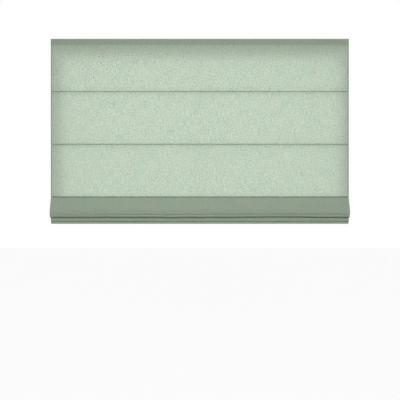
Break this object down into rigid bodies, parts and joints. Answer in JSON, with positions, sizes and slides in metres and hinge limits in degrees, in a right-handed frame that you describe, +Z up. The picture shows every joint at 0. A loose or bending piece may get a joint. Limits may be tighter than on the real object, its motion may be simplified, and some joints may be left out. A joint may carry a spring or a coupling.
{
  "type": "roman blind",
  "caption": "Flat roman blind of thin sage cloth on a slim headrail, with rods in sewn seams, lift cords behind and gathered folds at its lower end; lifts and folds to shade a window.",
  "frame": {"origin": "on the wall plane, midway between the two bracket screw holes", "axes": "+X along the headrail, +Y into the wall away from the room, +Z up"},
  "size_m": [1.3, 0.071, 0.807],
  "materials": {
    "cloth": "linen weave, sheer",
    "tape": "pile tape",
    "cord": "braided",
    "rail": "satin white",
    "bar": "mill",
    "steel": "zinc plated",
    "rod": "glass fibre",
    "plastic": "moulded"
  },
  "bodies": {
    "root": {"headrail": "rail", "hook_tape": "tape", "loop_tape": "tape", "end_cap_left": "plastic", "end_cap_right": "plastic", "bracket_left": "steel", "bracket_right": "steel", "cradle_left": "plastic", "cradle_middle": "plastic", "cradle_right": "plastic", "spring_anchor": "plastic", "balance_spring": "steel", "brake_case": "plastic", "lift_cords": "cord", "fabric_panel_1": "cloth"},
    "lift_shaft": {"lift_shaft": "steel", "drum_left": "plastic", "drum_middle": "plastic", "drum_right": "plastic", "spring_hub": "plastic"},
    "rod_1": {"rod_1": "rod", "rings_1": "plastic", "fabric_panel_2": "cloth"},
    "rod_2": {"rod_2": "rod", "rings_2": "plastic", "fabric_panel_3": "cloth"},
    "rod_3": {"rod_3": "rod", "rings_3": "plastic", "fold_1": "cloth"},
    "rod_4": {"rod_4": "rod", "rings_4": "plastic", "fold_2": "cloth"},
    "rod_5": {"rod_5": "rod", "rings_5": "plastic", "cord_stops": "plastic", "hem_panel": "cloth", "bottom_bar": "bar", "bottom_bar_cap_left": "plastic", "bottom_bar_cap_right": "plastic"}
  },
  "joints": [
    {"name": "panel_1_fold", "type": "slide", "parent": "root", "child": "rod_1", "axis": [0, 0.0156, 0.9999], "range_m": [0, 0.19202], "deforming": ["fabric_panel_1", "lift_cords"]},
    {"name": "panel_2_fold", "type": "slide", "parent": "rod_1", "child": "rod_2", "axis": [0, 0.0138, 0.9999], "range_m": [0, 0.21802], "deforming": ["fabric_panel_2"]},
    {"name": "panel_3_fold", "type": "slide", "parent": "rod_2", "child": "rod_3", "axis": [0, 0.1274, 0.9919], "range_m": [0, 0.21979], "deforming": ["fabric_panel_3"]},
    {"name": "fold_1_drop", "type": "slide", "parent": "rod_3", "child": "rod_4", "axis": [0, 0, 1], "range_m": [-0.1582, 0], "deforming": ["fold_1"]},
    {"name": "fold_2_drop", "type": "slide", "parent": "rod_4", "child": "rod_5", "axis": [0, 0, 1], "range_m": [-0.1678, 0], "deforming": ["fold_2"]},
    {"name": "shaft_spin", "type": "hinge", "parent": "root", "child": "lift_shaft", "pos_m": [0, -0.03235, -0.0015], "axis": [-1, 0, 0], "range_deg": [-2788, 5370], "deforming": ["balance_spring"]}
  ],
  "couplings": [
    {"joint": "shaft_spin", "follows": "panel_3_fold", "rad_per_m": 148.04}
  ]
}
